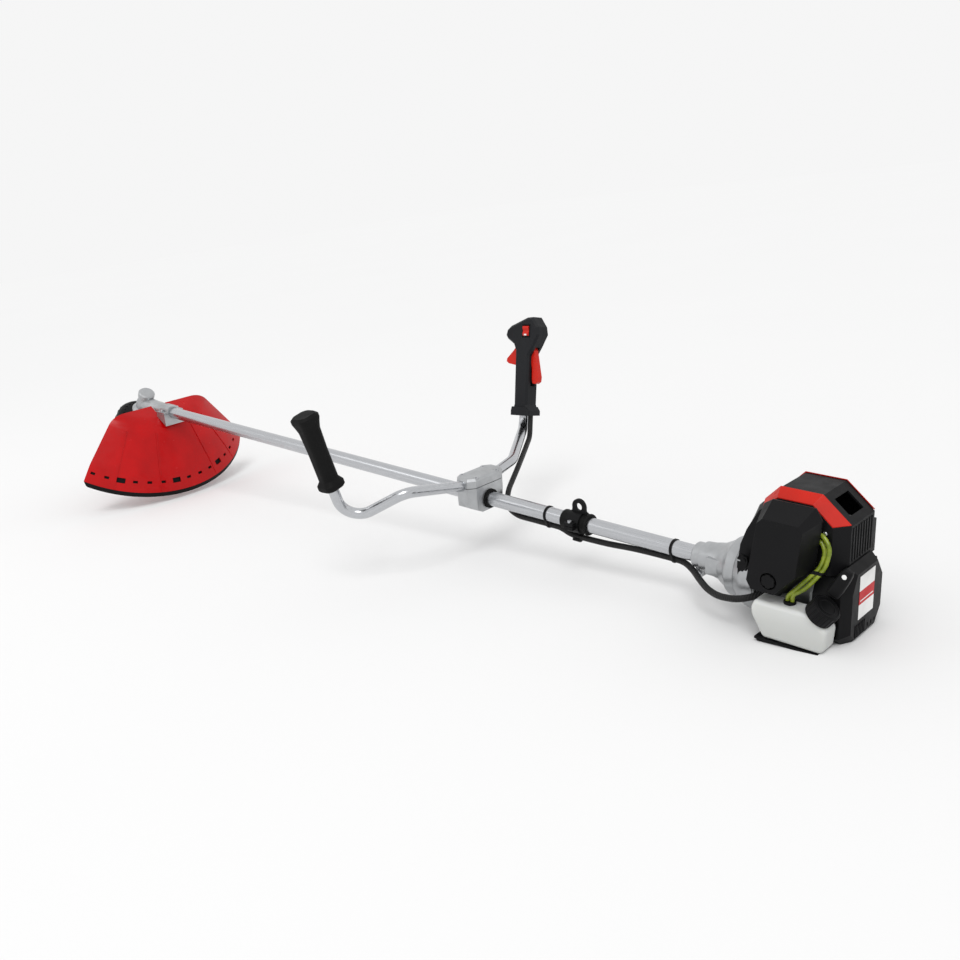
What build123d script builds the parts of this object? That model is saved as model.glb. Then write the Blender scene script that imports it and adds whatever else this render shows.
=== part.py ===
from build123d import *
import os
from math import atan2, cos, degrees, pi, radians, sin, tan

# Petrol brush cutter with a bull-horn handle, in millimetres.
# +X runs along the shaft toward the engine, +Y is the operator's right, +Z is up.
# Every piece is drawn with the shaft's axis on the X axis. save() then moves it, so that the
# finished origin is the centre of the harness eye.

os.makedirs("parts", exist_ok=True)

# ---------------------------------------------------------------- driving dimensions
FIT = 0.05                 # radial running clearance of a shaft in its bore
PART_GAP = 0.3             # gap between neighbours that don't touch

TUBE_R = 13.0
TUBE_WALL = 1.5
TUBE_FRONT = -1296.0       # end inside the gearbox neck
TUBE_BACK = 262.0          # end inside the clutch housing
DRIVE_SHAFT_R = 4.0

EYE_X = 4.0                # harness eye, on the hanger clamp
EYE_RISE = 28.0
EYE_BORE_R = 6.5
EYE_R = 13.5
EYE_FOOT_HALF = 15.0
EYE_WIDTH = 5.0

HEAD_X = -1360.0           # where the shaft's axis meets the output axis
HEAD_TILT = 30.0           # cutting plane against the shaft
PINION_TEETH = 14
GEAR_TEETH = 19

GUARD_CENTRE = -34.0       # middle of the guard's cone, behind the output axis
GUARD_FRONT = -1296.0      # flat front edge, across the shaft
GUARD_WALL = 2.6
GUARD_RIM_R = 268.0
GUARD_RIM = -74.0          # rim's height along the output axis

BAR_R = 9.5
BAR_WALL = 1.6
GRIP_BASE = (-326.5, 248.5, 71.0)
GRIP_LEAN = (-0.10, 0.24, 1.0)
BAR_START = (-219.5, 8.0, 24.0)
LEFT_KNEE = (-233.0, -170.0, 55.0)
LEFT_ELBOW = (-332.0, -220.0, -6.0)
LEFT_RADII = [30, 35, 60]
RIGHT_KNEE = (-239.0, 110.0, 33.0)
RIGHT_RADII = [55, 30]

CRANK_THROW = 16.0
BORE_R = 22.0
CYLINDER_X = 396.0
COVER_HALF = 52.0          # engine cover's half width at its side faces
COVER_TOP_HALF = 35.0      # half width of its flat top, inside the trim bands
BASE_Z = -59.0             # the face the engine stands on

STARTER_X = 446.0
PULLEY_R = 28.0
FILTER_SEAT_Y = -63.3      # where the air filter cover meets its case
FILTER_FACE_Y = -98.0

CABLE_R = 5.0
FUEL_LINE_R = 3.0
TRIMMER_LINE_R = 1.2

# ---------------------------------------------------------------- frames
TO_EYE = Location((-EYE_X, 0, -EYE_RISE))
DOWN = radians(HEAD_TILT)
HEAD = Plane(origin=(HEAD_X, 0, 0), x_dir=(cos(DOWN), 0, -sin(DOWN)), z_dir=(sin(DOWN), 0, cos(DOWN)))
HEAD_SIDE = Plane(origin=HEAD.origin, x_dir=HEAD.x_dir, z_dir=(0, -1, 0))
HEAD_AXIS = Axis(HEAD.origin, HEAD.z_dir)
GUARD = Plane(origin=HEAD.from_local_coords((GUARD_CENTRE, 0, 0)), x_dir=HEAD.x_dir, z_dir=HEAD.z_dir)
GUARD_SIDE = Plane(origin=GUARD.origin, x_dir=HEAD.x_dir, z_dir=(0, -1, 0))
GUARD_AXIS = Axis(GUARD.origin, GUARD.z_dir)
RIGHT_HANDLE = Plane(origin=GRIP_BASE, x_dir=(1, 0, -GRIP_LEAN[0]), z_dir=GRIP_LEAN)
LEFT_HANDLE = Plane(
    origin=(GRIP_BASE[0], -GRIP_BASE[1], GRIP_BASE[2]),
    x_dir=(1, 0, -GRIP_LEAN[0]),
    z_dir=(GRIP_LEAN[0], -GRIP_LEAN[1], GRIP_LEAN[2]),
)
IN_PLACE = Location()
STAND = (Align.CENTER, Align.CENTER, Align.MIN)


# ---------------------------------------------------------------- helpers
def save(piece, name, place=IN_PLACE):
    """Labels a finished piece, moves it from its drawing frame and writes its STEP file."""
    piece.part.label = name
    placed = piece.part.moved(TO_EYE * place)
    placed.label = name
    export_step(placed, f"parts/{name}.step")


def rod(plane, radius, length, at=(0, 0), mode=Mode.ADD):
    """Cylinder standing on a plane, about the point `at` of that plane."""
    with Locations(plane.location * Location((at[0], at[1], 0))):
        Cylinder(radius, length, align=STAND, mode=mode)


def rod_x(radius, start, end, at=(0, 0), mode=Mode.ADD):
    """Cylinder along X between two stations, about y and z."""
    rod(Plane.YZ.offset(start), radius, end - start, at, mode)


def tube_x(outer, inner, start, end, at=(0, 0)):
    """Ring along X."""
    rod_x(outer, start, end, at)
    rod_x(inner, start, end, at, Mode.SUBTRACT)


def block(low, high, mode=Mode.ADD):
    """Box between two corners."""
    size = [top - bottom for bottom, top in zip(low, high)]
    with Locations(low):
        Box(*size, align=(Align.MIN, Align.MIN, Align.MIN), mode=mode)


def polygon(plane, outline):
    """Closed polygon on a plane."""
    with BuildSketch(plane) as face:
        with BuildLine():
            Polyline(*outline, close=True)
        make_face()
    return face.sketch


def slab(plane, outline, thickness, mode=Mode.ADD):
    """Polygon thickened along its plane's normal."""
    extrude(polygon(plane, outline), amount=thickness, mode=mode)


def turned(plane, outline, axis, mode=Mode.ADD):
    """Polygon turned about an axis."""
    revolve(polygon(plane, outline), axis=axis, mode=mode)


def side_view(y):
    """Plane seen from the operator's left, x and z as drawn, normal toward -Y."""
    return Plane.XZ.offset(-y)


def skin(lower, upper, mode=Mode.ADD):
    """Ruled loft between two polygons with the same number of corners."""
    loft([lower, upper], ruled=True, mode=mode)


def mirrored(point):
    """The same point on the operator's left."""
    return (point[0], -point[1], point[2])


def fillet_radius(before, corner, after):
    """Largest tidy arc at a corner of a cord: 0.45 of the shorter run over tan of half the turn."""
    first = Vector(corner) - Vector(before)
    second = Vector(after) - Vector(corner)
    half_turn = radians(first.get_angle(second)) / 2
    return 0.45 * min(first.length, second.length) / tan(half_turn)


def cord_path(name, points):
    """Radii of a cord's corners, printed so that sharp ones are seen."""
    radii = [fillet_radius(*points[i:i + 3]) for i in range(len(points) - 2)]
    print(name, "radii", [round(radius) for radius in radii])
    return radii


# ================================================================ shaft
with BuildPart() as shaft_tube:
    tube_x(TUBE_R, TUBE_R - TUBE_WALL, TUBE_FRONT, TUBE_BACK)
save(shaft_tube, "shaft_tube")


# Bevel pair: both pitch cones meet where the axes cross.
SHAFT_ANGLE = radians(90 - HEAD_TILT)
TEETH_RATIO = GEAR_TEETH / PINION_TEETH
PINION_CONE = atan2(sin(SHAFT_ANGLE), TEETH_RATIO + cos(SHAFT_ANGLE))
GEAR_CONE = SHAFT_ANGLE - PINION_CONE
CONE_DISTANCE = 8.0 / sin(PINION_CONE)
TOOTH_LENGTH = 7.0
TOOTH_GAP = 0.35           # each tip stays this far inside its pitch cone
PINION_HUB = 3.0
PINION = Plane(origin=HEAD.origin, x_dir=(0, 1, 0), z_dir=(1, 0, 0))


def bevel_wheel(cone, teeth, bore):
    """Bevel wheel about Z, with the point of its pitch cone at the origin."""
    corners = []
    for slant in (CONE_DISTANCE - TOOTH_LENGTH, CONE_DISTANCE):
        corners.append((slant * sin(cone) - TOOTH_GAP * cos(cone), slant * cos(cone) + TOOTH_GAP * sin(cone)))
    (small_r, small_z), (large_r, large_z) = corners
    middle = ((small_r + large_r) / 2, 0, (small_z + large_z) / 2)
    back = large_z + PINION_HUB
    groove_width = pi * middle[0] / teeth
    with BuildPart() as wheel:
        outline = [(bore, small_z), (small_r, small_z), (large_r, large_z), (large_r, back), (bore, back)]
        turned(Plane.XZ, outline, Axis.Z)
        with PolarLocations(0, teeth):
            with Locations(Location(middle, (0, degrees(cone), 0))):
                Box(2.4, groove_width, 3 * TOOTH_LENGTH, mode=Mode.SUBTRACT)
    return wheel


PINION_BACK = HEAD_X + CONE_DISTANCE * cos(PINION_CONE) + PINION_HUB

DRUM_FRONT = 300.0
with BuildPart() as drive_shaft:
    add(bevel_wheel(PINION_CONE, PINION_TEETH, DRIVE_SHAFT_R - 1).part.moved(PINION.location))
    rod_x(DRIVE_SHAFT_R, HEAD_X + 12, DRUM_FRONT)
save(drive_shaft, "drive_shaft")

# ================================================================ gearbox
NECK_BACK = -1264.0
LUG_X = -1279.0            # clamp screw under the neck
BARREL_R = 20.5
BARREL_LOW = -22.0
BARREL_TOP = 41.0
CHAMBER_R = 16.0
BEARING_X = PINION_BACK + 1.5

with BuildPart() as gearbox_housing:
    neck = [(HEAD_X + 4, 0), (HEAD_X + 4, 19), (-1334, 21), (-1312, 19), (-1294, 17), (NECK_BACK - 3, 17),
            (NECK_BACK, 15.5), (NECK_BACK, 0)]
    turned(Plane.XZ, neck, Axis.X)
    barrel = [(0, BARREL_LOW), (27, BARREL_LOW), (28, BARREL_LOW + 2), (28, -13), (23.5, -9),
              (BARREL_R, -4), (BARREL_R, 10),
              (18, 18), (18, 26), (19.5, 28), (19.5, 38), (17, BARREL_TOP), (0, BARREL_TOP)]
    turned(HEAD_SIDE, barrel, HEAD_AXIS)
    # clamp lugs and slit under the neck
    block((LUG_X - 9, -7, -27), (LUG_X + 9, 7, -14))
    rod_x(TUBE_R + FIT, TUBE_FRONT, NECK_BACK, mode=Mode.SUBTRACT)
    rod_x(11.0, BEARING_X, TUBE_FRONT, mode=Mode.SUBTRACT)
    rod_x(11.0, HEAD_X + 6, BEARING_X, mode=Mode.SUBTRACT)
    chamber = [(0, BARREL_LOW), (CHAMBER_R, BARREL_LOW), (CHAMBER_R, 25), (11, 25), (11, 36), (0, 36)]
    turned(HEAD_SIDE, chamber, HEAD_AXIS, Mode.SUBTRACT)
    block((LUG_X - 14, -0.6, -30), (NECK_BACK + 1, 0.6, -12), Mode.SUBTRACT)
    with Locations(Location((LUG_X, 0, -21.5), (90, 0, 0))):
        Cylinder(2.6, 30, mode=Mode.SUBTRACT)
save(gearbox_housing, "gearbox_housing")


# ================================================================ cutting head, drawn about the output axis
HEAD_R = 62.0
SHELL_TOP = -26.0
SHELL_LOW = -66.0
KNOB_LOW = -88.0
BUMP_TRAVEL = 8.0
KNOB_R = 26.0

with BuildPart() as output_spindle:
    add(bevel_wheel(GEAR_CONE, GEAR_TEETH, 3).part)
    turned(Plane.XZ, [(0, 35), (4.5, 35), (4.5, -8), (6, -8), (6, SHELL_LOW), (0, SHELL_LOW)], Axis.Z)
save(output_spindle, "output_spindle", HEAD.location)

SHELL_OUTSIDE = [(6.0, SHELL_TOP), (24, SHELL_TOP), (40, -27), (52, -30), (59, -36), (HEAD_R, -44),
                 (HEAD_R, -58),
                 (66, -62), (66, SHELL_LOW)]
SHELL_INSIDE = [(61, SHELL_LOW), (61, -60), (58, -58), (58, -44), (53, -37), (40, -32), (10, -31),
                (10, SHELL_LOW),
                (6.0, SHELL_LOW)]
with BuildPart() as trimmer_head:
    # 24 ribs stand on the shoulder; what reaches inside is cut away again
    with PolarLocations(0, 24):
        with Locations(Location((50.5, 0, -36), (0, 38, 0))):
            Box(22, 3, 8)
    turned(Plane.XZ, [(0, SHELL_LOW + 1), (0, -20), (24, -27), (58, -41),
                      (58, SHELL_LOW + 1)], Axis.Z, Mode.SUBTRACT)
    turned(Plane.XZ, SHELL_OUTSIDE + SHELL_INSIDE, Axis.Z)
    for side in (-1, 1):
        with Locations(Location((0, side * 60, -50), (90, 0, 0))):
            Cylinder(2.4, 12, mode=Mode.SUBTRACT)
save(trimmer_head, "trimmer_head", HEAD.location)

with BuildPart() as line_spool:
    turned(Plane.XZ, [(10.4, -36), (42, -36), (42, -38), (20, -38), (20, -58), (50, -58), (50, -60),
                      (10.4, -60)], Axis.Z)
save(line_spool, "line_spool", HEAD.location)

with BuildPart() as spool_cover:
    turned(Plane.XZ, [(KNOB_R + 0.5, SHELL_LOW), (KNOB_R + 0.5, -74), (54, -72), (65, -68.5),
                      (65, SHELL_LOW - 0.1),
                      (60, SHELL_LOW - 0.1), (60, -62), (KNOB_R + 0.5, -62)], Axis.Z)
save(spool_cover, "spool_cover", HEAD.location)

with BuildPart() as bump_knob:
    turned(Plane.XZ, [(0, KNOB_LOW), (20, KNOB_LOW), (KNOB_R, KNOB_LOW + 5), (KNOB_R, -69),
                      (0, -69)], Axis.Z)
    turned(Plane.XZ, [(0, -70), (0, -68), (12, -68), (12, -80), (0, -80)], Axis.Z, Mode.SUBTRACT)
save(bump_knob, "bump_knob", HEAD.location)

LINE_ROUTE = [(0, 62.5, -50), (8, 78, -50.5), (26, 88, -52), (44, 90, -55), (60, 83, -60)]
with BuildPart() as trimmer_lines:
    for side in (-1, 1):
        route = [(-side * x, side * y, z) for x, y, z in LINE_ROUTE]
        with BuildLine() as line_path:
            FilletPolyline(*route, radius=cord_path("trimmer line", route))
        with BuildSketch(Plane(origin=line_path.line @ 0, z_dir=line_path.line % 0)) as line_section:
            Circle(TRIMMER_LINE_R)
        sweep(line_section.sketch, path=line_path.line)
save(trimmer_lines, "trimmer_lines", HEAD.location)

# ================================================================ guard
GUARD_OUTSIDE = [(0, 41.5), (147, 41.5), (240, -44), (GUARD_RIM_R, GUARD_RIM)]
GUARD_INSIDE = [(GUARD_RIM_R - 3, GUARD_RIM), (237.8, -46.2), (145.8, 38.9), (0, 38.9)]
FOLD_R = 60.0
RIB = [(165.5, 24.5), (167, 25.2), (241, -43.2), (GUARD_RIM_R + 0.3, -73.4), (GUARD_RIM_R - 1, GUARD_RIM), (238.4, -45.6),
       (164, 22)]
RIB_ANGLES = (-40.5, -17, 17, 34.5)
FRONT_PLANE = Plane(origin=(GUARD_FRONT, 0, 0), z_dir=(1, 0, 0))
SLOT_RADIUS = 251.0
SLOT_HEIGHT = -56.0
SLOT_PITCH = 7.5
SLOT_FIRST = -53.0
SLOT_COUNT = 15
NOTCH_HALF = 19.0

with BuildPart() as guard:
    with BuildSketch(GUARD_SIDE) as section:
        with BuildLine():
            outside = FilletPolyline(*GUARD_OUTSIDE, radius=[FOLD_R, 2 * FOLD_R])
            inside = FilletPolyline(*GUARD_INSIDE, radius=[2 * FOLD_R, FOLD_R - GUARD_WALL])
            Line(outside @ 1, inside @ 0)
            Line(inside @ 1, outside @ 0)
        make_face()
    revolve(section.sketch, axis=GUARD_AXIS)
    for angle in RIB_ANGLES:
        rib_side = Plane(GUARD.location * Location((0, 0, 0), (0, 0, angle)) * Plane.XZ.location)
        extrude(polygon(rib_side, RIB), amount=1.3, both=True)
    split(bisect_by=FRONT_PLANE)
    for number in range(SLOT_COUNT):
        wide = number % 4 == 2
        swing = Location((0, 0, 0), (0, 0, SLOT_FIRST + number * SLOT_PITCH))
        with Locations(GUARD.location * swing * Location((SLOT_RADIUS, 0, SLOT_HEIGHT), (0, 47, 0))):
            Box(12 if wide else 6, 20 if wide else 11, 14, mode=Mode.SUBTRACT)
    # notch that clears the gearbox neck and the tube
    block((GUARD_FRONT - 1, -NOTCH_HALF, -40), (-1262, NOTCH_HALF, 40), Mode.SUBTRACT)
    block((-1262.5, -14.5, -17), (-1240, 14.5, 40), Mode.SUBTRACT)
save(guard, "guard")

SKIRT_LOW = -88.0
with BuildPart() as guard_skirt:
    skirt = [(241.6, -52), (GUARD_RIM_R - 3.4, GUARD_RIM - 0.2), (GUARD_RIM_R, GUARD_RIM - 0.2),
             (GUARD_RIM_R + 1, -84),
             (GUARD_RIM_R, SKIRT_LOW), (GUARD_RIM_R - 4, SKIRT_LOW), (GUARD_RIM_R - 6, -78), (239.4, -54.6)]
    turned(GUARD_SIDE, skirt, GUARD_AXIS)
    split(bisect_by=FRONT_PLANE)
save(guard_skirt, "guard_skirt")

BLADE_ANGLE = -50.0
with BuildPart() as line_cutter:
    with Locations(Location((0, 0, 0), (0, 0, BLADE_ANGLE)) * Location((246.2, 0, -84.9))):
        Box(32, 22, 2)
    with Locations(Location((0, 0, 0), (0, 0, BLADE_ANGLE)) * Location((231, 0, -84.9), (0, 0, 45))):
        Box(14, 14, 1.2)
save(line_cutter, "line_cutter", GUARD.location)

CLAMP_FRONT = -1262.0
CLAMP_BACK = -1228.0
CLAMP_BOLT = (CLAMP_FRONT + CLAMP_BACK) / 2
with BuildPart() as guard_bracket:
    # wedge block between the tube and the guard's sloping top
    wedge = [(CLAMP_FRONT, 0), (CLAMP_BACK, 0), (CLAMP_BACK, -40), (CLAMP_FRONT, -40)]
    slab(side_view(26), wedge, 52)
    rod_x(TUBE_R + FIT, CLAMP_FRONT - 1, CLAMP_BACK + 1, mode=Mode.SUBTRACT)
    below = HEAD.from_local_coords((0, 0, 41.8))
    under_side = Plane(origin=below, x_dir=HEAD.x_dir, z_dir=HEAD.z_dir)
    split(bisect_by=under_side)
    for side in (-1, 1):
        rod(Plane.XY.offset(-60), 2.6, 70, (CLAMP_BOLT, side * 20.8), Mode.SUBTRACT)
    slab(Plane.YZ.offset(CLAMP_FRONT), [(-26, 0.6), (-26, 5), (-17, 5), (-15, 12), (-8, 17), (8, 17),
                                        (15, 12), (17, 5),
                                        (26, 5), (26, 0.6)], CLAMP_BACK - CLAMP_FRONT)
    rod_x(TUBE_R + FIT, CLAMP_FRONT - 1, CLAMP_BACK + 1, mode=Mode.SUBTRACT)
    for side in (-1, 1):
        rod(Plane.XY.offset(-1), 2.6, 10, (CLAMP_BOLT, side * 20.8), Mode.SUBTRACT)
save(guard_bracket, "guard_bracket")


# ================================================================ handlebars
BRACKET_FRONT = -243.0
BRACKET_BACK = -198.0
BRACKET_HALF = 46.0
PARTING = 27.5
BAR_END_LEFT = 118.0
BAR_END_RIGHT = 82.0
LEFT_BELOW_GRIP = 14.0
RIGHT_BELOW_GRIP = 22.0
BAR_FIT = BAR_R + FIT


def in_grip(handle, below, end):
    """The two corners of a handlebar on its grip's axis: where it enters and where it ends."""
    return [tuple(handle.from_local_coords((0, 0, height))) for height in (-below, end)]


def handlebar(route, radii):
    """Bent tube along a route."""
    with BuildPart() as bar:
        with BuildLine() as path:
            FilletPolyline(*route, radius=radii)
        with BuildSketch(Plane(origin=path.line @ 0, z_dir=path.line % 0)):
            Circle(BAR_R)
            Circle(BAR_R - BAR_WALL, mode=Mode.SUBTRACT)
        sweep()
    return bar


LEFT_ROUTE = [mirrored(BAR_START), LEFT_KNEE, LEFT_ELBOW] + in_grip(LEFT_HANDLE, LEFT_BELOW_GRIP, BAR_END_LEFT)
RIGHT_ROUTE = [BAR_START, RIGHT_KNEE] + in_grip(RIGHT_HANDLE, RIGHT_BELOW_GRIP, BAR_END_RIGHT)
save(handlebar(LEFT_ROUTE, LEFT_RADII), "left_handlebar")
save(handlebar(RIGHT_ROUTE, RIGHT_RADII), "right_handlebar")


def cut_bar_seats():
    """Bores of the two handlebars through a bracket casting."""
    for route in (LEFT_ROUTE, RIGHT_ROUTE):
        start, knee = Vector(*route[0]), Vector(*route[1])
        along = (knee - start).normalized()
        rod(Plane(origin=start - along * 0.1, z_dir=along), BAR_FIT, 90, mode=Mode.SUBTRACT)


BOLT_X = (-237.0, -204.0)
BOLT_Y = 27.0
CASTING_PLAN = [(-243, -34), (-232, -46), (-208, -46), (-198, -33), (-198, 33), (-208, 46), (-232, 46),
                (-243, 34)]

with BuildPart() as handle_bracket:
    section = [(-46, PARTING), (-46, 2), (-40, -10), (-20, -20), (20, -20), (40, -10), (46, 2),
               (46, PARTING)]
    slab(Plane.YZ.offset(BRACKET_FRONT), section, BRACKET_BACK - BRACKET_FRONT)
    slab(Plane.XY.offset(-25), CASTING_PLAN, 70, Mode.INTERSECT)
    rod_x(TUBE_R + FIT, BRACKET_FRONT, BRACKET_BACK, mode=Mode.SUBTRACT)
    cut_bar_seats()
    for x in BOLT_X:
        for y in (-BOLT_Y, BOLT_Y):
            rod(Plane.XY.offset(4), 2.5 + FIT, 30, (x, y), Mode.SUBTRACT)
save(handle_bracket, "handle_bracket")

CAP_LOW = 28.6
CAP_TOP = 45.0
with BuildPart() as handle_cap:
    slab(Plane.XY.offset(CAP_LOW), CASTING_PLAN, CAP_TOP - CAP_LOW)
    chamfer(handle_cap.faces().sort_by(Axis.Z)[-1].edges(), 4)
    cut_bar_seats()
    for x in BOLT_X:
        for y in (-BOLT_Y, BOLT_Y):
            rod(Plane.XY.offset(CAP_LOW), 2.5 + FIT, 20, (x, y), Mode.SUBTRACT)
            rod(Plane.XY.offset(CAP_TOP - 4), 4.6, 6, (x, y), Mode.SUBTRACT)
save(handle_cap, "handle_cap")


# Left grip: flared, squarish ends with a slimmer waist, open at the bottom for the bar.
GRIP_SECTIONS = [(-2, 36, 12), (1, 40, 12), (8, 40, 12), (16, 31, 12), (70, 31.5, 13), (108, 33, 12),
                 (118, 37, 12),
                 (126, 41, 12), (132, 41, 12), (136, 34, 12)]
with BuildPart() as left_grip:
    for height, width, corner in GRIP_SECTIONS:
        with BuildSketch(Plane.XY.offset(height)):
            RectangleRounded(width, width, corner)
    loft(ruled=True)
    rod(Plane.XY.offset(-3), BAR_FIT, BAR_END_LEFT + 3.1, mode=Mode.SUBTRACT)
save(left_grip, "left_grip", LEFT_HANDLE.location)

# ================================================================ throttle handle, drawn about the right bar's end
HALF_DEPTH = 16.5
HANDLE_BODY = [(-19, 0), (25, 0), (25, 10), (19, 22), (19.5, 118), (30, 134), (44, 159), (41, 174),
               (26, 193), (12, 192),
               (-30, 176), (-40, 168), (-43, 158), (-38, 151), (-22, 141), (-16, 128), (-15, 22), (-19, 10)]
HANDLE_COLLAR = [(-18, 0), (24, 0), (24, 9), (18, 17), (-16, 17), (-18, 9)]
TRIGGER_WELL = [(-50, 92), (3, 92), (3, 149), (-20, 149), (-34, 142)]
LOCKOUT_WELL = [(10.2, 58), (34, 58), (34, 118), (30, 134), (24, 146), (6, 146), (6, 122), (10.2, 104)]
TRIGGER_HALF = 6.5
TRIGGER_PIVOT = (-9, 140)
LOCKOUT_HALF = 6.0
LOCKOUT_PIVOT = (14, 138)
PIN_R = 1.5
SWITCH_X = 12.0
SWITCH_AXIS = (-11.5, 166)  # y and z of the rocker's pivot
SWITCH_PIN_R = 1.2


def handle_half(side):
    """One moulded half of the throttle handle; side is -1 inboard or +1 outboard."""
    near = 0.08 * side
    with BuildPart() as half:
        slab(side_view(near), HANDLE_BODY, -side * (HALF_DEPTH - 0.08))
        outside = half.faces().sort_by(Axis.Y)[0 if side < 0 else -1]
        chamfer(outside.edges(), 4)
        slab(side_view(near), HANDLE_COLLAR, -side * 20)
        rod(Plane.XY.offset(-1), BAR_FIT, BAR_END_RIGHT + 1.2, mode=Mode.SUBTRACT)
        rod(Plane.XY.offset(-1), CABLE_R + FIT, 10, (17, 0), Mode.SUBTRACT)
        slab(side_view(0), TRIGGER_WELL, -side * (TRIGGER_HALF + 0.4), Mode.SUBTRACT)
        slab(side_view(0), LOCKOUT_WELL, -side * (LOCKOUT_HALF + 0.4), Mode.SUBTRACT)
        for x, z in (TRIGGER_PIVOT, LOCKOUT_PIVOT):
            with Locations(Location((x, 0, z), (90, 0, 0))):
                Cylinder(PIN_R, 22, mode=Mode.ADD if side < 0 else Mode.SUBTRACT)
        if side < 0:
            # pocket of the switch and the pin its rocker turns on
            block((SWITCH_X - 8, -22, 155.2), (SWITCH_X + 8, -6.8, 176.8), Mode.SUBTRACT)
            rod_x(SWITCH_PIN_R, SWITCH_X - 9, SWITCH_X + 9, SWITCH_AXIS)
    return half


save(handle_half(-1), "throttle_handle_inner", RIGHT_HANDLE.location)
save(handle_half(1), "throttle_handle_outer", RIGHT_HANDLE.location)


def pivoted(outline, half_width, pivot):
    """Lever of constant width with a bore for its pin."""
    with BuildPart() as lever:
        slab(side_view(half_width), outline, 2 * half_width)
        with Locations(Location((pivot[0], 0, pivot[1]), (90, 0, 0))):
            Cylinder(PIN_R + FIT, 30, mode=Mode.SUBTRACT)
    return lever


TRIGGER = [(-5, 144), (-12, 145.5), (-18, 140), (-28, 128), (-45, 112), (-46, 106), (-40, 102),
           (-22, 99), (-12, 101),
           (-9, 122), (-4, 134)]
LOCKOUT = [(10, 142.5), (17, 142.5), (26, 128), (38, 76), (37, 67), (31, 63), (24, 64), (22, 72),
           (21, 92), (16, 122),
           (9, 134)]
save(pivoted(TRIGGER, TRIGGER_HALF, TRIGGER_PIVOT), "throttle_trigger", RIGHT_HANDLE.location)
save(pivoted(LOCKOUT, LOCKOUT_HALF, LOCKOUT_PIVOT), "lockout_lever", RIGHT_HANDLE.location)

# rocker seen from the end of its pivot, in Y and Z
ROCKER = [(-8.2, 157.5), (-10, 156.4), (-17.6, 156.6), (-19.2, 160.5), (-17.2, 166), (-19.8, 171.5),
          (-18.6, 175.4),
          (-10, 175.6), (-8.2, 174.5)]
with BuildPart() as ignition_switch:
    slab(Plane.YZ.offset(SWITCH_X - 7.6), ROCKER, 15.2)
    rod_x(SWITCH_PIN_R + FIT, SWITCH_X - 9, SWITCH_X + 9, SWITCH_AXIS, Mode.SUBTRACT)
save(ignition_switch, "ignition_switch", RIGHT_HANDLE.location)

# ================================================================ harness hanger
SLEEVE_R = 16.0
CLAMP_R = 19.0
CLAMP_HALF = 13.0
HOOK_INNER = 6.2

HANGER_BOLT_Y = 22.6

# rubber under the hanger's clamp and the ring behind the handle bracket
with BuildPart() as shaft_rubbers:
    outline = [(-27, TUBE_R + FIT), (-27, 16.2), (-24, 16.6), (-20, SLEEVE_R), (20, SLEEVE_R),
               (24, 18.5), (27, 17.5),
               (27, TUBE_R + FIT)]
    turned(Plane.XZ, outline, Axis.X)
    tube_x(TUBE_R + 4.5, TUBE_R + FIT, BRACKET_BACK, BRACKET_BACK + 4)
save(shaft_rubbers, "shaft_rubbers")

with BuildPart() as hanger_clamp:
    rod_x(CLAMP_R, -CLAMP_HALF, CLAMP_HALF)
    block((-9, -27, -6), (9, 27, 6))
    eye_plane = side_view(EYE_WIDTH / 2)
    rod(eye_plane, EYE_R, EYE_WIDTH, (EYE_X, EYE_RISE))
    foot = [(EYE_X - EYE_FOOT_HALF, 10), (EYE_X + EYE_FOOT_HALF, 10), (EYE_X + EYE_R - 1, EYE_RISE + 5),
            (EYE_X - EYE_R + 1, EYE_RISE + 5)]
    slab(eye_plane, foot, EYE_WIDTH)
    rod_x(HOOK_INNER + 3, -8, 6, (0, -26))
    block((-CLAMP_HALF - 1, -30, -0.5), (CLAMP_HALF + 1, 30, 0.5), Mode.SUBTRACT)
    rod_x(SLEEVE_R + FIT, -20, 20, mode=Mode.SUBTRACT)
    rod_x(HOOK_INNER, -10, 8, (0, -26), Mode.SUBTRACT)
    block((-10, -14, -32), (8, -HOOK_INNER + 0.5, -22), Mode.SUBTRACT)
    rod(side_view(20), EYE_BORE_R, 40, (EYE_X, EYE_RISE), Mode.SUBTRACT)
    for side in (-1, 1):
        rod(Plane.XY.offset(-8), 2.1, 16, (0, side * HANGER_BOLT_Y), Mode.SUBTRACT)
save(hanger_clamp, "hanger_clamp")

# ================================================================ clutch
FLANGE_X = 315.0
FLANGE_R = 45.0

with BuildPart() as clutch_housing:
    cone = [(229, 0), (229, 18.5), (231, 20), (243, 20), (245, 23.5), (258, 24.5), (276, 28.5),
            (294, 38.5), (298, 43),
            (301, FLANGE_R), (FLANGE_X, FLANGE_R), (FLANGE_X, 0)]
    turned(Plane.XZ, cone, Axis.X)
    block((231, -7, -32), (243, 7, -15))
    # flat pads on the cone's sides
    block((262, -31, -13), (296, 31, 13))
    rod_x(TUBE_R + FIT, 228, TUBE_BACK + 1, mode=Mode.SUBTRACT)
    cavity = [(262, 0), (262, 16), (285, 16), (296, 32), (299, 40.5), (FLANGE_X + 1, 40.5),
              (FLANGE_X + 1, 0)]
    turned(Plane.XZ, cavity, Axis.X, Mode.SUBTRACT)
    block((228, -0.6, -33), (249, 0.6, -12), Mode.SUBTRACT)
    rod(side_view(12), 2.6, 24, (237, -26), Mode.SUBTRACT)
save(clutch_housing, "clutch_housing")

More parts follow.
